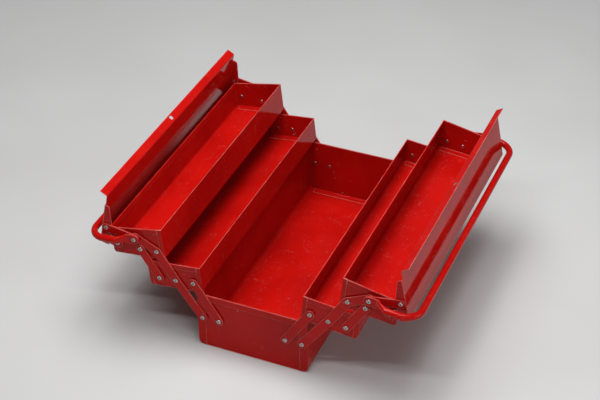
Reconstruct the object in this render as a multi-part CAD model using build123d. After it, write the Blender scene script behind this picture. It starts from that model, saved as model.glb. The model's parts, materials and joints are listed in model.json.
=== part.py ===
from build123d import *

import os
from dataclasses import dataclass
from math import atan2, cos, degrees, hypot, radians, sin, tan

# Cantilever toolbox of folded sheet steel, modelled opened: one deep box, two middle trays,
# two top trays, two lids and two carrying handles.  X is the way the trays fan out, Y runs
# along the box, Z is up, and the origin is the middle of the box's underside.
# The right-hand half is drawn as it stands when the box is shut, every tray level and
# stacked; each piece is then swung about its pivot into the opened position.  The left-hand
# half is its mirror image, and the far end is the mirror image of the near end.
# Lengths are in millimetres and angles in degrees.

# Sheet, hems and running gaps
SHEET = 1.0
ARM_SHEET = 2.0
GABLE_SHEET = 1.2
SEAM_GAP = 0.05
SIDE_GAP = 0.3
PIN_GAP = 0.05
HEAD_GAP = 0.1
EDGE_ROUND = 0.7

# Box and trays
LENGTH = 500.0
BOX_WIDTH = 203.0
BOX_HEIGHT = 110.5
BOX_CORNER = 11.0
BOX_HEM = 12.0
MIDDLE_HEIGHT = 50.0
TOP_HEIGHT = 60.0
TRAY_CORNER = 6.0
TRAY_HEM = 9.0
TRAY_FLANGE = 7.5
RIM_SLOPE = 5.5
CENTRE_GAP = 0.6
MIDDLE_STEP_IN = 0.9
TOP_STEP_IN = 2.4
STACK_GAP = 2.4
FLOOR_FLANGE = 12.0
BEND = 2.5

# Pivots, measured on the piece that carries them: in from its outer wall, or for the top
# tray's own pivot from its inner wall, and up from its floor
BOX_PIVOT_IN = 10.25
BOX_PIVOT_UP = 61.8
LOWER_LINK_SPACING = 30.2
MIDDLE_PIVOT_IN = 51.5
MIDDLE_PIVOT_UP = 18.2
UPPER_LINK_SPACING = 31.0
TOP_PIVOT_IN = 13.7
TOP_PIVOT_UP = 16.3
LID_PIVOT_IN = 11.9
LID_PIVOT_UP = 22.6
HEAD_LEAN = -2.0
HEAD_RISE = 42.6
LID_PIN_ANGLE = 131.8

# How far things swing from shut to open
FOLD = 67.0
DROOP = 6.3
LID_SWING = 67.3

# Arms, links and rivets
ARM_RADIUS = 8.4
LINK_RADIUS = 8.0
RIVET_RADIUS = 2.5
RIVET_HEAD = 4.2
RIVET_DOME = 1.7
INNER_DOME = 1.3
SLOT_TRAVEL = 5.0
SLOT_SLACK = 1.2

# Lids
LID_TOP_GAP = 1.7
LID_SIDE_GAP = 1.0
LIP = 14.5
LIP_ANGLE = 104.0
SKIRT = 12.0
LID_NOTCH = 16.2
GABLE_END_DEPTH = 7.5
GABLE_DEPTH = 15.5
GABLE_RADIUS = 9.5
PADLOCK_HOLE = 4.0

# Handles
HANDLE_GAP = 9.6
HANDLE_DROOP = 6.5
TUBE_RADIUS = 6.0
HANDLE_BEND = 31.0
EYE_RADIUS = 8.8
EYE_SHEET = 2.4
EYE_LENGTH = 12.0
NECK_LENGTH = 18.0
TUBE_OFFSET = 9.0

# Layers at each end, as distances out from the middle of the length
FLANGE_OUT = LENGTH / 2
PANEL_OUT = FLANGE_OUT - SHEET
PANEL_IN = PANEL_OUT - SHEET
ARM_IN = FLANGE_OUT + SIDE_GAP
ARM_OUT = ARM_IN + ARM_SHEET
GABLE_IN = ARM_OUT + SIDE_GAP
GABLE_OUT = GABLE_IN + GABLE_SHEET
LINK_IN = GABLE_OUT + 2 * SIDE_GAP
LINK_OUT = LINK_IN + ARM_SHEET
EYE_IN = LINK_OUT + SIDE_GAP
EYE_OUT = EYE_IN + EYE_SHEET
TUBE_MID = EYE_IN + EYE_SHEET / 2 + TUBE_OFFSET


@dataclass
class Pan:
    """A folded pan as it stands when shut; heights and flange are outside sizes."""

    left: float
    floor: float
    width: float
    inner_height: float
    outer_height: float
    corner: float
    flange: float
    hem: float

    def rim(self, along):
        """Height of the end rim above the floor's underside, this far out from the inner wall."""
        return self.inner_height + (self.outer_height - self.inner_height) * along / self.width

    def place(self, inward, up):
        """A point of the end wall, as X and Z when shut."""
        return (self.left + inward, self.floor + up)


# --- Geometry of the right-hand half when shut ---------------------------------------------


def direction(start, end):
    return degrees(atan2(end[1] - start[1], end[0] - start[0]))


def distance(start, end):
    return hypot(end[0] - start[0], end[1] - start[1])


def along(start, angle, length):
    return (start[0] + length * cos(radians(angle)), start[1] + length * sin(radians(angle)))


def turned_about(pivot, angle):
    """Placement that drops the +X side by this angle about a pivot that runs along Y."""
    here = Location((pivot[0], 0, pivot[1]))
    back = Location((-pivot[0], 0, -pivot[1]))
    return here * Rotation(0, angle, 0) * back


def carried(placement, point):
    """Where a placement takes a point given as X and Z."""
    moved = (placement * Location((point[0], 0, point[1]))).position
    return (moved.X, moved.Z)


def carried_and_turned(point, new_point, angle):
    """Placement that takes one point to another and drops the +X side by this angle."""
    start = Location((-point[0], 0, -point[1]))
    return Location((new_point[0], 0, new_point[1])) * Rotation(0, angle, 0) * start


def closing_distance(pivot, angle, anchor, open_pivot, open_angle, open_anchor):
    """Distance from a pivot, along a line fixed to its piece, of the pin that a link of one
    length joins to its anchor both shut and open."""
    shut = (pivot[0] - anchor[0], pivot[1] - anchor[1])
    opened = (open_pivot[0] - open_anchor[0], open_pivot[1] - open_anchor[1])
    change = shut[0] ** 2 + shut[1] ** 2 - opened[0] ** 2 - opened[1] ** 2
    shut_part = shut[0] * cos(radians(angle)) + shut[1] * sin(radians(angle))
    open_part = opened[0] * cos(radians(open_angle)) + opened[1] * sin(radians(open_angle))
    return change / (2 * (open_part - shut_part))


BOX = Pan(
    left=-BOX_WIDTH / 2,
    floor=0.0,
    width=BOX_WIDTH,
    inner_height=BOX_HEIGHT,
    outer_height=BOX_HEIGHT,
    corner=BOX_CORNER,
    flange=BOX_PIVOT_IN + RIVET_HEAD + SIDE_GAP,
    hem=BOX_HEM,
)
MIDDLE = Pan(
    left=CENTRE_GAP,
    floor=BOX_HEIGHT + STACK_GAP,
    width=BOX_WIDTH / 2 - CENTRE_GAP - MIDDLE_STEP_IN,
    inner_height=MIDDLE_HEIGHT,
    outer_height=MIDDLE_HEIGHT,
    corner=TRAY_CORNER,
    flange=TRAY_FLANGE,
    hem=TRAY_HEM,
)
top_width = BOX_WIDTH / 2 - CENTRE_GAP - TOP_STEP_IN
TOP = Pan(
    left=CENTRE_GAP,
    floor=MIDDLE.floor + MIDDLE_HEIGHT + STACK_GAP,
    width=top_width,
    inner_height=TOP_HEIGHT,
    outer_height=TOP_HEIGHT - top_width * tan(radians(RIM_SLOPE)),
    corner=TRAY_CORNER,
    flange=TRAY_FLANGE,
    hem=TRAY_HEM,
)

arm_foot = BOX.place(BOX_WIDTH - BOX_PIVOT_IN, BOX_PIVOT_UP)
link_foot = (arm_foot[0] - LOWER_LINK_SPACING, arm_foot[1])
middle_pivot = MIDDLE.place(MIDDLE.width - MIDDLE_PIVOT_IN, MIDDLE_PIVOT_UP)
top_pivot = TOP.place(TOP_PIVOT_IN, TOP_PIVOT_UP)
upper_foot = (middle_pivot[0] + UPPER_LINK_SPACING, middle_pivot[1])
upper_head = (top_pivot[0] + UPPER_LINK_SPACING, top_pivot[1])
lid_pivot = TOP.place(TOP.width - LID_PIVOT_IN, LID_PIVOT_UP)
head_pin = (top_pivot[0] + HEAD_LEAN, top_pivot[1] + HEAD_RISE)

# Where the pieces stand when open, as placements of the shut half
ARMS_OPEN = turned_about(arm_foot, FOLD)
MIDDLE_OPEN = carried_and_turned(middle_pivot, carried(ARMS_OPEN, middle_pivot), DROOP)
TOP_OPEN = carried_and_turned(top_pivot, carried(ARMS_OPEN, top_pivot), DROOP)
LID_OPEN = TOP_OPEN * turned_about(lid_pivot, LID_SWING)

# The lower link's upper pin and the lid link's lid pin are set so that both links fit at
# both ends of the travel
lower_spacing = closing_distance(
    middle_pivot, 180.0, link_foot, carried(ARMS_OPEN, middle_pivot), 180.0 - DROOP, link_foot
)
link_head = (middle_pivot[0] - lower_spacing, middle_pivot[1])
pin_spacing = closing_distance(
    lid_pivot,
    LID_PIN_ANGLE,
    head_pin,
    carried(LID_OPEN, lid_pivot),
    LID_PIN_ANGLE - DROOP - LID_SWING,
    carried(ARMS_OPEN, head_pin),
)
lid_pin = along(lid_pivot, LID_PIN_ANGLE, pin_spacing)

LOWER_LINK_TURN = direction(link_foot, link_head) - direction(
    link_foot, carried(MIDDLE_OPEN, link_head)
)
LID_LINK_TURN = direction(head_pin, lid_pin) - direction(
    carried(ARMS_OPEN, head_pin), carried(LID_OPEN, lid_pin)
)
LOWER_LINKS_OPEN = turned_about(link_foot, LOWER_LINK_TURN)
UPPER_LINKS_OPEN = carried_and_turned(upper_foot, carried(MIDDLE_OPEN, upper_foot), FOLD)
LID_LINKS_OPEN = carried_and_turned(lid_pin, carried(LID_OPEN, lid_pin), LID_LINK_TURN)
HANDLE_OPEN = carried_and_turned((0.0, 0.0), carried(ARMS_OPEN, head_pin), HANDLE_DROOP)


# --- Shared shapes -------------------------------------------------------------------------


def slab(outline, inner, outer):
    """Stand an X-Z outline up between two distances out from the middle, at the near end."""
    return Location((0, -inner, 0)) * extrude(
        Plane.XZ * outline, amount=outer - inner, dir=(0, -1, 0)
    )


def both_ends(piece):
    return piece + mirror(piece, about=Plane.XZ)


def strip(start, end, radius):
    """Outline of a flat link with round ends."""
    middle = ((start[0] + end[0]) / 2, (start[1] + end[1]) / 2, 0)
    turn = (0, 0, direction(start, end))
    return Location(middle, turn) * SlotCenterToCenter(distance(start, end), 2 * radius)


def disc(point, radius):
    return Pos(point[0], point[1]) * Circle(radius)


def drilled(piece, points, radius):
    """Cut round holes along Y right through the near end of a piece."""
    for point in points:
        piece = piece - slab(disc(point, radius), PANEL_IN - SHEET, EYE_OUT + SHEET)
    return piece


def dome(point, inner, outer, rounding_outward):
    """A rivet head, rounded on its free side."""
    head = slab(disc(point, RIVET_HEAD), inner, outer)
    rims = head.edges().sort_by(Axis.Y)
    rim = rims[0] if rounding_outward else rims[-1]
    return fillet(rim, 0.75 * (outer - inner))


def rivet(point, layers, head_at):
    """A rivet: (inner, outer, radius) layers along its length and a domed outer head."""
    piece = dome(point, head_at, head_at + RIVET_DOME, True)
    for inner, outer, radius in layers:
        piece = piece + slab(disc(point, radius), inner, outer)
    return piece


def wall_rivet(point, seat):
    """A pivot rivet that holds an arm or link a running gap away from an end wall."""
    shank = (PANEL_IN, ARM_OUT + HEAD_GAP, RIVET_RADIUS)
    shoulder = (seat, ARM_IN - HEAD_GAP, RIVET_HEAD)
    piece = rivet(point, [shank, shoulder], ARM_OUT + HEAD_GAP)
    return piece + dome(point, PANEL_IN - INNER_DOME, PANEL_IN, False)


# --- Pans: the box and the trays -----------------------------------------------------------


def pan_outline(pan, inset=0.0):
    """A pan's end outline: level floor, rounded lower corners, sloping rim."""
    low = pan.floor + inset
    near_wall = pan.left + inset
    far_wall = pan.left + pan.width - inset
    outline = Polygon(
        (near_wall, pan.floor + pan.rim(inset)),
        (near_wall, low),
        (far_wall, low),
        (far_wall, pan.floor + pan.rim(pan.width - inset)),
        align=None,
    )
    return fillet(outline.vertices().group_by(Axis.Y)[0], pan.corner - inset)


def block(left, low, right, high):
    return Polygon((left, low), (right, low), (right, high), (left, high), align=None)


def pan_section(pan, hem_sheets):
    """Section across a pan: floor and walls, with this many extra sheets folded in as a hem."""
    right = pan.left + pan.width
    tall = Pan(**{**vars(pan), "outer_height": pan.inner_height})
    hollow = pan_outline(tall, SHEET)
    over_rim = block(
        pan.left + SHEET, pan.floor + pan.corner, right - SHEET, pan.floor + 2 * pan.inner_height
    )
    above_outer = block(
        right - 2 * SHEET, pan.floor + pan.outer_height, right + SHEET, pan.floor + 2 * pan.inner_height
    )
    section = pan_outline(tall) - hollow - over_rim - above_outer
    rims = ((pan.left, 1, pan.inner_height), (right, -1, pan.outer_height))
    for wall, inward, height in rims:
        if hem_sheets:
            edges = sorted((wall, wall + inward * (1 + hem_sheets) * SHEET))
            top = pan.floor + height
            section = section + block(edges[0], top - pan.hem, edges[1], top)
            tips = [v for v in section.vertices() if abs(v.Y - top) < SEAM_GAP]
            tips = [v for v in tips if min(abs(v.X - edge) for edge in edges) < SEAM_GAP]
            section = fillet(tips, 0.9 * SHEET)
    return section


def pan_shell(pan):
    """Floor and long walls in one sheet, hemmed, with flanges folded round the end panels."""
    full = slab(pan_section(pan, 0), -FLANGE_OUT, FLANGE_OUT)
    hemmed = slab(pan_section(pan, 1), -PANEL_IN, PANEL_IN)
    right = pan.left + pan.width
    top = pan.floor + pan.inner_height + SHEET
    between = block(pan.left + pan.flange, pan.floor + SHEET, right - pan.flange, top)
    flanges = slab(pan_outline(pan) - between, PANEL_OUT, FLANGE_OUT)
    shell = full + hemmed + both_ends(flanges)

    def on_outside(edge):
        box = edge.bounding_box()
        at_end = abs(abs(edge.center().Y) - FLANGE_OUT) < SEAM_GAP
        low = box.min.Z < pan.floor + pan.outer_height / 2
        sides = (box.min.X - pan.left, right - box.max.X, box.min.Z - pan.floor)
        return at_end and low and min(sides) < SEAM_GAP / 2

    return fillet([edge for edge in shell.edges() if on_outside(edge)], EDGE_ROUND)


def pan_end(pan):
    """Near end panel: a plate inside the flanges, hemmed outward, with a flange on the floor."""
    plate = slab(pan_outline(pan, SHEET + SEAM_GAP), PANEL_IN, PANEL_OUT)
    left = pan.flange + SEAM_GAP
    right = pan.width - pan.flange - SEAM_GAP
    rim = [pan.place(along_rim, pan.rim(along_rim)) for along_rim in (left, right)]
    hem = Polygon(
        rim[0], rim[1], (rim[1][0], rim[1][1] - pan.hem), (rim[0][0], rim[0][1] - pan.hem), align=None
    )
    low = pan.floor + SHEET + SEAM_GAP
    foot_outline = block(
        pan.left + pan.corner, low, pan.left + pan.width - pan.corner, low + SHEET
    )
    panel = plate + slab(foot_outline, PANEL_IN - FLOOR_FLANGE, PANEL_OUT)
    corner = [
        edge
        for edge in panel.edges().filter_by(Axis.X)
        if abs(edge.center().Y + PANEL_IN) < SEAM_GAP / 2
        and abs(edge.center().Z - low - SHEET) < SEAM_GAP / 2
    ]
    return fillet(corner, BEND) + slab(hem, PANEL_OUT, FLANGE_OUT)


# --- Lids ----------------------------------------------------------------------------------


def panel_height(x):
    """Middle of the lid panel's thickness when shut, following the top tray's sloping rim."""
    rim = TOP.floor + TOP_HEIGHT - (x - TOP.left) * tan(radians(RIM_SLOPE))
    return rim + LID_TOP_GAP + SHEET / 2


LID_OUTER = TOP.left + TOP.width + LID_SIDE_GAP + SHEET / 2
LID_ROOT = CENTRE_GAP + SHEET / 2 - LIP * cos(radians(LIP_ANGLE))
GABLE_START = LID_ROOT + LID_NOTCH


def lid_panel():
    """Flat panel with a lip along the centre line and a skirt outside the tray's outer wall."""
    root = (LID_ROOT, panel_height(LID_ROOT))
    outer = (LID_OUTER, panel_height(LID_OUTER))
    tip = along(root, LIP_ANGLE, LIP)
    line = FilletPolyline(tip, root, outer, (outer[0], outer[1] - SKIRT), radius=BEND)
    lid = slab(trace(line, SHEET), -GABLE_OUT, GABLE_OUT)
    corner = block(0, root[1] - LIP, GABLE_START, root[1] + 2 * LIP)
    lid = lid - both_ends(slab(corner, FLANGE_OUT - HEAD_GAP, GABLE_OUT + SHEET))
    middle = along(root, LIP_ANGLE, LIP - PADLOCK_HOLE - BEND)
    bore = Location((middle[0], 0, middle[1]), (0, 180 - LIP_ANGLE, 0))
    return lid - bore * Cylinder(PADLOCK_HOLE, 4 * BEND)


def lid_gable():
    """Near end plate of a lid, which carries its pivot and the lid link's pin."""
    under = SHEET / 2 + SEAM_GAP
    right = LID_OUTER - under
    outline = Polygon(
        (GABLE_START, panel_height(GABLE_START) - under),
        (GABLE_START, panel_height(GABLE_START) - under - GABLE_END_DEPTH),
        (lid_pin[0] - LINK_RADIUS, panel_height(lid_pin[0]) - under - GABLE_DEPTH),
        (right, panel_height(right) - under - GABLE_DEPTH),
        (right, panel_height(right) - under),
        align=None,
    )
    outline = fillet(outline.vertices().sort_by(Axis.X)[-2:].sort_by(Axis.Y)[-1], BEND)
    outline = fillet(outline.vertices().sort_by(Axis.X)[:2].sort_by(Axis.Y)[0], 2 * BEND)
    ear_top = (lid_pivot[0], panel_height(lid_pivot[0]) - GABLE_RADIUS - BEND)
    outline = outline + strip(lid_pivot, ear_top, GABLE_RADIUS)
    plate = slab(outline, GABLE_IN, GABLE_OUT)
    plate = drilled(plate, [lid_pivot], RIVET_RADIUS + PIN_GAP)
    return drilled(plate, [lid_pin], RIVET_RADIUS)


# --- Arms, links, handles ------------------------------------------------------------------


def long_arm():
    """Bent arm from the box past the middle tray to the top tray, with its handle head."""
    outline = strip(arm_foot, middle_pivot, ARM_RADIUS) + strip(
        middle_pivot, top_pivot, ARM_RADIUS
    )
    outline = outline + strip(top_pivot, head_pin, LINK_RADIUS)
    plate = slab(outline, ARM_IN, ARM_OUT)
    plate = drilled(plate, [arm_foot, middle_pivot, top_pivot], RIVET_RADIUS + PIN_GAP)
    return drilled(plate, [head_pin], RIVET_RADIUS)


def plain_link(start, end):
    plate = slab(strip(start, end, LINK_RADIUS), ARM_IN, ARM_OUT)
    return drilled(plate, [start, end], RIVET_RADIUS + PIN_GAP)


def lower_link():
    """Short link; its upper hole is wide enough for the tray's steady tilting."""
    plate = slab(strip(link_foot, link_head, LINK_RADIUS), ARM_IN, ARM_OUT)
    plate = drilled(plate, [link_foot], RIVET_RADIUS + PIN_GAP)
    return drilled(plate, [link_head], RIVET_RADIUS + SLOT_SLACK)


def lid_link():
    """Link that swings the lid, with a slot at the arm's head."""
    plate = slab(strip(head_pin, lid_pin, LINK_RADIUS), LINK_IN, LINK_OUT)
    slot_end = along(head_pin, direction(head_pin, lid_pin), SLOT_TRAVEL)
    slot = strip(head_pin, slot_end, RIVET_RADIUS + SLOT_SLACK)
    plate = plate - slab(slot, LINK_IN - SHEET, LINK_OUT + SHEET)
    return drilled(plate, [lid_pin], RIVET_RADIUS + PIN_GAP)


def handle():
    """Bent tube with flattened eyes, lying along +X from its pivot, its bar clear of the lid."""
    lid_corner = carried(LID_OPEN, (LID_OUTER + SHEET / 2, panel_height(LID_OUTER)))
    outward = lid_corner[0] + HANDLE_GAP + TUBE_RADIUS - carried(ARMS_OPEN, head_pin)[0]
    start = (EYE_LENGTH + NECK_LENGTH, -TUBE_MID)
    corner = (outward / cos(radians(HANDLE_DROOP)), -TUBE_MID)
    path = FilletPolyline(
        start, corner, (corner[0], -corner[1]), (start[0], -start[1]), radius=HANDLE_BEND
    )
    mouth = Plane(origin=(*start, 0), x_dir=(0, 1, 0), z_dir=(1, 0, 0))
    tube = sweep(mouth * Circle(TUBE_RADIUS), path=path)
    eye = slab(strip((0, 0), (EYE_LENGTH, 0), EYE_RADIUS), EYE_IN, EYE_OUT)
    eye_mid = (EYE_IN + EYE_OUT) / 2
    flat = Plane(origin=(EYE_LENGTH, -eye_mid, 0), x_dir=(0, 1, 0), z_dir=(1, 0, 0))
    neck = loft([flat * Ellipse(EYE_SHEET / 2, EYE_RADIUS), mouth * Circle(TUBE_RADIUS)])
    end = drilled(eye + neck, [(0, 0)], RIVET_RADIUS + PIN_GAP)
    return tube + both_ends(end)


# --- The pieces ----------------------------------------------------------------------------


def near_and_far(name, piece, placement):
    """Two nodes: a near-end piece and its mirror image at the far end."""
    return {
        f"{name}_near": placement * piece,
        f"{name}_far": placement * mirror(piece, about=Plane.XZ),
    }


def rivet_group(rivets, placement):
    """One node that holds every rivet of a body, at both ends, as separate solids."""
    far = [mirror(piece, about=Plane.XZ) for piece in rivets]
    return Compound(children=[placement * piece for piece in (*rivets, *far)])


def box_nodes():
    right = [arm_foot, link_foot]
    left = [(-x, z) for x, z in right]
    holes = [*right, *left]
    shell = drilled(pan_shell(BOX), holes, RIVET_RADIUS)
    shell = mirror(drilled(mirror(shell, about=Plane.XZ), holes, RIVET_RADIUS), about=Plane.XZ)
    end = drilled(pan_end(BOX), holes, RIVET_RADIUS)
    rivets = [wall_rivet(foot, FLANGE_OUT) for foot in (arm_foot, (-arm_foot[0], arm_foot[1]))]
    rivets += [wall_rivet(foot, PANEL_OUT) for foot in (link_foot, (-link_foot[0], link_foot[1]))]
    return {
        "box_shell": shell,
        **near_and_far("box_end", end, Location()),
        "box_rivets": rivet_group(rivets, Location()),
    }


def tray_nodes(name, pan, placement, pivots, extra_rivets=()):
    holes = [*pivots, *(point for point, _ in extra_rivets)]
    end = drilled(pan_end(pan), holes, RIVET_RADIUS)
    rivets = [wall_rivet(point, PANEL_OUT) for point in pivots]
    rivets += [piece for _, piece in extra_rivets]
    return {
        f"{name}_tray": placement * pan_shell(pan),
        **near_and_far(f"{name}_end", end, placement),
        f"{name}_rivets": rivet_group(rivets, placement),
    }


def lid_pivot_rivet():
    """Rivet on the top tray that the lid's gable turns on."""
    shank = (PANEL_IN, GABLE_OUT + HEAD_GAP, RIVET_RADIUS)
    shoulder = (PANEL_OUT, GABLE_IN - HEAD_GAP, RIVET_HEAD)
    piece = rivet(lid_pivot, [shank, shoulder], GABLE_OUT + HEAD_GAP)
    return piece + dome(lid_pivot, PANEL_IN - INNER_DOME, PANEL_IN, False)


def lid_pin_rivet():
    """Rivet on the lid's gable that holds the lid link."""
    shank = (GABLE_IN, LINK_OUT + HEAD_GAP, RIVET_RADIUS)
    shoulder = (GABLE_OUT, LINK_IN - HEAD_GAP, RIVET_HEAD)
    return rivet(lid_pin, [shank, shoulder], LINK_OUT + HEAD_GAP)


def head_rivet():
    """Rivet on the arm's head that carries the lid link and the handle."""
    shank = (ARM_IN, EYE_OUT + HEAD_GAP, RIVET_RADIUS)
    shoulder = (ARM_OUT, LINK_IN - HEAD_GAP, RIVET_HEAD)
    return rivet(head_pin, [shank, shoulder], EYE_OUT + HEAD_GAP)


def right_half_nodes():
    lid_rivet = (lid_pivot, lid_pivot_rivet())
    return {
        **tray_nodes("middle", MIDDLE, MIDDLE_OPEN, [link_head, middle_pivot, upper_foot]),
        **tray_nodes("top", TOP, TOP_OPEN, [top_pivot, upper_head], [lid_rivet]),
        "lid": LID_OPEN * lid_panel(),
        **near_and_far("lid_gable", lid_gable(), LID_OPEN),
        "lid_rivets": rivet_group([lid_pin_rivet()], LID_OPEN),
        **near_and_far("long_arm", long_arm(), ARMS_OPEN),
        "handle_rivets": rivet_group([head_rivet()], ARMS_OPEN),
        **near_and_far("lower_link", lower_link(), LOWER_LINKS_OPEN),
        **near_and_far("upper_link", plain_link(upper_foot, upper_head), UPPER_LINKS_OPEN),
        **near_and_far("lid_link", lid_link(), LID_LINKS_OPEN),
        "handle": HANDLE_OPEN * handle(),
    }


def mirrored(shape):
    """The left-hand copy of a right-hand piece, keeping grouped solids apart."""
    if isinstance(shape, Compound) and len(shape.children) > 1:
        return Compound(children=[mirror(child, about=Plane.YZ) for child in shape.children])
    return mirror(shape, about=Plane.YZ)


nodes = box_nodes()
for node_name, node_shape in right_half_nodes().items():
    nodes[f"right_{node_name}"] = node_shape
    nodes[f"left_{node_name}"] = mirrored(node_shape)

os.makedirs("parts", exist_ok=True)
for node_name, node_shape in nodes.items():
    export_step(node_shape, f"parts/{node_name}.step")
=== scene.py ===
import json
import math

import bpy
import numpy as np
from mathutils import Matrix


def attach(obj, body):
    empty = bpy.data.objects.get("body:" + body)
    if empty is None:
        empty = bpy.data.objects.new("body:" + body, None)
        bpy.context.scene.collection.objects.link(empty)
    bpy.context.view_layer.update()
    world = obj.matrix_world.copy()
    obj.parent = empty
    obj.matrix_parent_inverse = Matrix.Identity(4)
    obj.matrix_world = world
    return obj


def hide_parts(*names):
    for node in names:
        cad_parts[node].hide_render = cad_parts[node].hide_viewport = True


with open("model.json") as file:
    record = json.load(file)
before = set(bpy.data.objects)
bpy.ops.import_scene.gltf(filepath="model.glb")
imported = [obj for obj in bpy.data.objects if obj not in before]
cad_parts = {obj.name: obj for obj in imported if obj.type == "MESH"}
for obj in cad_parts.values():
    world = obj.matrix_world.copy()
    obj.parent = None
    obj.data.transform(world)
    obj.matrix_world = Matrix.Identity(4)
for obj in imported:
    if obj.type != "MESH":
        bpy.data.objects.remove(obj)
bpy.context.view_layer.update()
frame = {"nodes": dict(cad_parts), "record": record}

# A cantilever toolbox of folded sheet steel, sprayed with red stoving enamel and hung on bare
# steel rivets.  The scene is in metres, and the sizes below are in millimetres.
MM = 0.001


def linear(hex_colour):
    """An sRGB hex colour as linear RGBA: each channel c goes to ((c + 0.055) / 1.055) ** 2.4."""
    channels = [int(hex_colour[i : i + 2], 16) / 255 for i in (1, 3, 5)]
    curve = [c / 12.92 if c <= 0.04045 else ((c + 0.055) / 1.055) ** 2.4 for c in channels]
    return (*curve, 1.0)


# --- Materials -----------------------------------------------------------------------------


def add_node(tree, kind, inputs, output=0, **properties):
    """Adds a node and returns one of its output sockets.  Inputs maps a socket's name or number
    to the value it holds or to the socket it is linked from."""
    node = tree.nodes.new("ShaderNode" + kind)
    for name, value in properties.items():
        setattr(node, name, value)
    for socket, value in inputs.items():
        if isinstance(value, bpy.types.NodeSocket):
            tree.links.new(value, node.inputs[socket])
        else:
            node.inputs[socket].default_value = value
    return node.outputs[output]


def new_material(name, base, roughness, metallic=0.0, specular=0.5):
    """A material and its parts.  Base and roughness are what shows where nodes aren't read."""
    material = bpy.data.materials.new(name)
    material.use_nodes = True
    shader = material.node_tree.nodes["Principled BSDF"]
    shader.inputs["Base Color"].default_value = linear(base)
    shader.inputs["Roughness"].default_value = roughness
    shader.inputs["Metallic"].default_value = metallic
    shader.inputs["Specular IOR Level"].default_value = specular
    return material, material.node_tree, shader


def noise_fields(tree, rows):
    """Noise on object coordinates: each row gives a name, the size of a blotch in millimetres,
    the detail, how much finer it runs along each axis, and the range that is spread over 0 to 1."""
    place = add_node(tree, "TexCoord", {}, "Object")
    fields = {}
    for name, size, detail, finer, low, high in rows:
        stretched = add_node(tree, "Mapping", {"Vector": place, "Scale": finer})
        spread = {"Vector": stretched, "Scale": 1 / (size * MM), "Detail": detail}
        raw = add_node(tree, "TexNoise", spread, "Fac")
        fields[name] = add_node(tree, "MapRange", {"Value": raw, "From Min": low, "From Max": high})
    return fields


# The mix node's colour sockets and its colour output, by number, since their names repeat
MIX_BASE, MIX_TOP, MIX_COLOUR = 6, 7, 2
EVEN = (1, 1, 1)


def layered(tree, base, layers):
    """Lays hex colours over a base colour in turn: each layer is (field, strength, colour)."""
    colour = linear(base)
    for field, strength, top in layers:
        factor = add_node(tree, "Math", {0: field, 1: strength}, operation="MULTIPLY")
        sockets = {0: factor, MIX_BASE: colour, MIX_TOP: linear(top)}
        colour = add_node(tree, "Mix", sockets, MIX_COLOUR, data_type="RGBA")
    return colour


def stoving_enamel():
    """Red stoving enamel, sprayed on folded mild steel and baked: a hard gloss with orange
    peel, fine scratches from rubbing, a few chips, and a painted highlight of pale pink along the
    folded edges."""
    material, tree, shader = new_material("red stoving enamel", "#AC0D09", 0.07, specular=0.13)
    # Scratches and chips are drawn about a millimetre wide, coarser than real ones, to show
    rows = (
        ("broad", 90, 2, EVEN, 0.3, 0.7),
        ("peel", 2.2, 2, EVEN, 0, 1),
        ("wave", 55, 1, EVEN, 0, 1),
        ("worn", 24, 4, EVEN, 0.48, 0.6),
        ("patchy", 24, 4, EVEN, 0.3, 0.62),
        ("long marks", 5, 3, (14, 0.5, 14), 0.67, 0.71),
        ("cross marks", 6, 3, (0.6, 16, 2), 0.675, 0.715),
        ("flecks", 2.6, 2, EVEN, 0.735, 0.75),
    )
    field = noise_fields(tree, rows)
    either = {0: field["long marks"], 1: field["cross marks"]}
    either = add_node(tree, "Math", either, operation="MAXIMUM")
    marks = add_node(tree, "Math", {0: either, 1: field["worn"]}, operation="MULTIPLY")
    chips = add_node(tree, "Math", {0: field["flecks"], 1: field["worn"]}, operation="MULTIPLY")

    # An edge is where the normal of a 0.9 mm round leans away from the flat face's
    rounded = add_node(tree, "Bevel", {"Radius": 0.9 * MM}, samples=8)
    flat = add_node(tree, "NewGeometry", {}, "Normal")
    lean = add_node(tree, "VectorMath", {0: flat, 1: rounded}, "Value", operation="DOT_PRODUCT")
    edges = add_node(tree, "MapRange", {"Value": lean, "From Min": 0.985, "From Max": 0.85})
    # The folded edges, where a highlight is painted, patchy in strength
    patchy = {"Value": field["patchy"], "To Min": 0.3, "To Max": 0.9}
    highlit_edges = add_node(
        tree, "Math", {0: edges, 1: add_node(tree, "MapRange", patchy)}, operation="MULTIPLY"
    )
    layers = (
        (field["broad"], 1.0, "#A20B08"),
        (marks, 0.6, "#E08A80"),
        # A painted highlight: the folded edges are lightened to pale pink, as if they caught the
        # light
        (highlit_edges, 1.0, "#F2ABA0"),
        (chips, 1.0, "#4A3A36"),
    )
    tree.links.new(layered(tree, "#B4100B", layers), shader.inputs["Base Color"])

    # Gloss 0.05 to 0.11, duller where the paint is scratched and along the highlit edges
    gloss = {"Value": field["patchy"], "To Min": 0.05, "To Max": 0.11}
    dulled = {0: marks, 1: 0.25, 2: add_node(tree, "MapRange", gloss)}
    dulled = {0: highlit_edges, 1: 0.2, 2: add_node(tree, "Math", dulled, operation="MULTIPLY_ADD")}
    dulled = add_node(tree, "Math", dulled, operation="MULTIPLY_ADD")
    tree.links.new(dulled, shader.inputs["Roughness"])

    # Sheet that isn't quite flat, then orange peel, then scratches and chips cut in, in mm
    normal = rounded
    sunk = add_node(tree, "Math", {0: marks, 1: chips}, operation="MAXIMUM")
    for height, depth in ((field["wave"], 0.10), (field["peel"], 0.004), (sunk, 0.02)):
        cut = {"Height": height, "Strength": 1, "Distance": depth * MM, "Normal": normal}
        normal = add_node(tree, "Bump", cut, invert=height == sunk)
    tree.links.new(normal, shader.inputs["Normal"])
    return material


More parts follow.
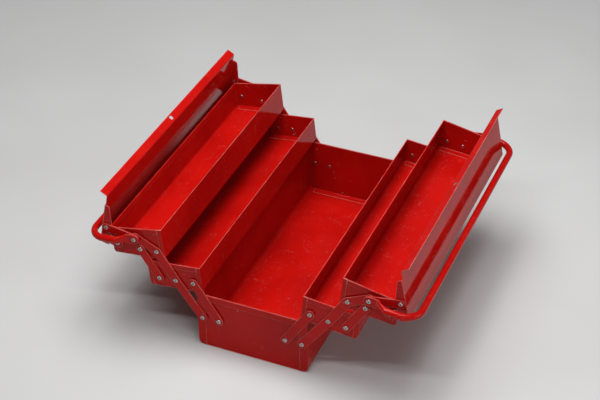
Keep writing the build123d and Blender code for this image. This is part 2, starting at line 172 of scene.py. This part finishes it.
def zinc_steel():
    """Zinc-plated steel rivets, peened over: dull blotched grey, with painted shade darkening the
    punched ring and the foot of the head.
    """
    material, tree, shader = new_material("zinc plated steel rivet", "#9A9692", 0.3, metallic=1.0)
    rows = (("blotch", 1.6, 3, EVEN, 0.35, 0.7), ("pits", 0.25, 2, EVEN, 0, 1))
    field = noise_fields(tree, rows)
    # Painted shade: the head is darkened in its punched ring and at its foot, where shadow would
    # fall
    painted_shade = add_node(tree, "Attribute", {}, "Fac", attribute_name="painted_shade")
    layers = ((field["blotch"], 1.0, "#8E8986"), (painted_shade, 0.9, "#241E1C"))
    tree.links.new(layered(tree, "#D2CDC9", layers), shader.inputs["Base Color"])
    gloss = {"Value": field["blotch"], "To Min": 0.22, "To Max": 0.42}
    tree.links.new(add_node(tree, "MapRange", gloss), shader.inputs["Roughness"])
    pitted = {"Height": field["pits"], "Strength": 1, "Distance": 0.012 * MM}
    tree.links.new(add_node(tree, "Bump", pitted), shader.inputs["Normal"])
    return material


def studio_paper():
    """Matt pale paper, with the faint cloudiness and tooth of a rolled backdrop."""
    material, tree, shader = new_material("pale studio paper", "#B8B8B8", 0.9)
    field = noise_fields(tree, (("cloud", 300, 2, EVEN, 0.3, 0.7), ("tooth", 0.8, 2, EVEN, 0, 1)))
    layers = ((field["cloud"], 1.0, "#B5B5B4"),)
    tree.links.new(layered(tree, "#BABABA", layers), shader.inputs["Base Color"])
    grain = {"Height": field["tooth"], "Strength": 1, "Distance": 0.02 * MM}
    tree.links.new(add_node(tree, "Bump", grain), shader.inputs["Normal"])
    return material


# --- Rivets --------------------------------------------------------------------------------

# In millimetres: how far a rivet's points reach from its axis at most, the height that its head
# takes up, the slack that keeps a new surface inside the fitted one, and the least radius
RIVET_REACH = 10
HEAD_HEIGHT = 1.7
FINE = 0.01
LEAST_RADIUS = 0.2

# The head's profile from its rim to its middle: radius and height in millimetres, and how dark the
# painted shade is there
HEAD = (
    (4.15, 0.0, 0.5),
    (4.15, 0.35, 0.5),
    (3.9, 0.85, 0.0),
    (3.3, 1.3, 0.0),
    (2.5, 1.58, 0.0),
    (1.9, 1.64, 0.0),
    (1.45, 1.5, 0.5),
    (1.2, 1.15, 1.0),
    (0.85, 1.0, 1.0),
    (0.4, 1.06, 0.5),
    (0.0, 1.1, 0.0),
)


def rivet_axes(obj):
    """The rivets of one node, each as its axis x and z, its end of the box (-1 or 1), and how
    far out from the middle and from its axis its points lie."""
    mesh = obj.data
    points = np.empty(len(mesh.vertices) * 3)
    mesh.vertices.foreach_get("co", points)
    points = points.reshape(-1, 3)
    found = []
    while len(points):
        x, y, z = points[0]
        same_axis = np.hypot(points[:, 0] - x, points[:, 2] - z) < RIVET_REACH * MM
        near = same_axis & (points[:, 1] * y > 0)
        one = points[near]
        points = points[~near]
        x, z = (one[:, 0].min() + one[:, 0].max()) / 2, (one[:, 2].min() + one[:, 2].max()) / 2
        radius = np.hypot(one[:, 0] - x, one[:, 2] - z)
        found.append((x, z, np.sign(y), np.abs(one[:, 1]), radius))
    return found


def outline_of(out, radius):
    """The half outline of a turned piece: its (out, radius) corners walked from the inner end."""
    corners = sorted({(round(float(o), 5), round(float(r), 5)) for o, r in zip(out, radius)})
    walked = [corners[0]]
    for level in sorted({o for o, _ in corners}):
        ring = sorted({r for o, r in corners if o == level}, key=lambda r: abs(r - walked[-1][1]))
        walked += [(level, ring[0])] + ([(level, ring[-1])] if len(ring) > 1 else [])
    return walked


def peened_rivet(x, z, end, out, radius, steps=36):
    """A turned rivet: the profile below its outer head follows the fitted piece, and the head is
    a dome with a punched ring.  Point (a, k) is (x + r_k cos a, end * o_k, z + r_k sin a)."""
    base = out.max() - HEAD_HEIGHT * MM
    fitted = [(o, r) for o, r in outline_of(out, radius) if o < base - 2 * FINE * MM]
    profile = [(o, max(r - FINE * MM, LEAST_RADIUS * MM)) for o, r in fitted]
    profile = [(profile[0][0], 0.0)] + profile + [(base, profile[-1][1])]
    # Painted shade for each ring of points: none below the head, dark in the punched ring and at
    # the head's foot
    painted_shade = [0.0] * len(profile) + [shade_amount for _, _, shade_amount in HEAD]
    profile += [(base + height * MM, radius * MM) for radius, height, _ in HEAD]
    turn = np.linspace(0, 2 * np.pi, steps, endpoint=False)
    o, r = np.array(profile).T
    across = x + r[:, None] * np.cos(turn)
    outward = np.repeat(end * o[:, None], steps, 1)
    upward = z + r[:, None] * np.sin(turn)
    verts = np.stack([across, outward, upward], -1).reshape(-1, 3)
    rows, columns = np.meshgrid(np.arange(len(o) - 1), np.arange(steps), indexing="ij")
    here, there = rows * steps + columns, rows * steps + (columns + 1) % steps
    faces = np.stack([here, there, there + steps, here + steps], -1).reshape(-1, 4)
    return verts, faces[:, :: -int(end)], np.repeat(painted_shade, steps)


def rivet_piece(name, obj):
    """All the peened rivets of one node as one mesh, with the painted shade as an attribute on its
    points.
    """
    verts, faces, painted_shade, start = [], [], [], 0
    for axis in rivet_axes(obj):
        points, quads, shade_amount = peened_rivet(*axis)
        verts.append(points)
        faces.append(quads + start)
        painted_shade.append(shade_amount)
        start += len(points)
    mesh = bpy.data.meshes.new(name)
    mesh.from_pydata(np.concatenate(verts).tolist(), [], np.concatenate(faces).tolist())
    mesh.attributes.new("painted_shade", "FLOAT", "POINT").data.foreach_set("value", np.concatenate(painted_shade))
    mesh.shade_smooth()
    mesh.materials.append(rivet_steel)
    piece = bpy.data.objects.new(name, mesh)
    weld = piece.modifiers.new("close the poles", "WELD")
    weld.merge_threshold = 0.01 * MM
    bpy.context.scene.collection.objects.link(piece)
    return piece


enamel = stoving_enamel()
rivet_steel = zinc_steel()
bodies = frame["record"]["behaviour"]["bodies"]
body_of = {node: body for body, names in bodies.items() for node in names}
for name, obj in frame["nodes"].items():
    if name.endswith("rivets"):
        piece = rivet_piece(name.replace("rivets", "peened_rivets"), obj)
        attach(piece, body_of[name])
        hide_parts(name)
    else:
        for slot in obj.material_slots:
            slot.material = enamel

# --- Floor, light and camera ---------------------------------------------------------------


def pale_floor():
    """A square sheet of paper under the box, this many metres from its middle to each side."""
    mesh = bpy.data.meshes.new("floor")
    half = 6.0
    corners = [(-half, -half, 0), (half, -half, 0), (half, half, 0), (-half, half, 0)]
    mesh.from_pydata(corners, [], [(0, 1, 2, 3)])
    floor = bpy.data.objects.new("floor", mesh)
    bpy.context.scene.collection.objects.link(floor)
    mesh.materials.append(studio_paper())


def aimed(place, back, roll=0.0):
    """A pose whose local +Z is back and whose local +X is level, then turned by roll about +Z."""
    back = np.array(back) / np.linalg.norm(back)
    right = np.cross((0.0, 0.0, 1.0), back)
    right = right / np.linalg.norm(right)
    up = np.cross(back, right)
    pose = Matrix.Identity(4)
    for column, axis in enumerate((right, up, back, place)):
        for row in range(3):
            pose[row][column] = axis[row]
    return pose @ Matrix.Rotation(roll, 4, "Z")


def soft_light(name, place, aim, width, height, power):
    """A rectangular soft box at a place in metres, facing a point, with its power in watts."""
    lamp = bpy.data.lights.new(name, "AREA")
    lamp.shape = "RECTANGLE"
    lamp.size = width
    lamp.size_y = height
    lamp.energy = power
    holder = bpy.data.objects.new(name, lamp)
    facing = np.array(place) - np.array(aim)
    holder.matrix_world = aimed(place, facing)
    bpy.context.scene.collection.objects.link(holder)


def studio_camera():
    """A long lens that looks down at the near end from the right, with no shift."""
    azimuth, elevation, roll = map(math.radians, (23.102, 35.918, -0.338))
    back = (
        math.sin(azimuth) * math.cos(elevation),
        -math.cos(azimuth) * math.cos(elevation),
        math.sin(elevation),
    )
    data = bpy.data.cameras.new("camera")
    data.lens = 92.18
    data.sensor_width = 36.0
    camera = bpy.data.objects.new("camera", data)
    camera.matrix_world = aimed((0.846475, -2.025711, 1.755454), back, roll)
    bpy.context.scene.collection.objects.link(camera)
    bpy.context.scene.camera = camera


pale_floor()
world = bpy.data.worlds.new("studio")
world.use_nodes = True
world.node_tree.nodes["Background"].inputs["Color"].default_value = linear("#FFFFFF")
world.node_tree.nodes["Background"].inputs["Strength"].default_value = 0.10
bpy.context.scene.world = world
soft_light("overhead soft box", (-0.1, 0.1, 2.2), (0, 0, 0.1), 1.5, 1.5, 56.0)
soft_light("strip light", (0.25, -1.1, 2.0), (0, -0.25, 0.15), 1.3, 0.05, 16.0)
soft_light("right side fill", (2.4, -0.3, 0.9), (0.2, 0, 0.1), 1.2, 1.0, 16.0)
soft_light("front fill", (1.8, -2.2, 1.4), (0, 0, 0.1), 1.6, 1.2, 4.5)
bpy.context.scene.view_settings.view_transform = "Standard"
studio_camera()
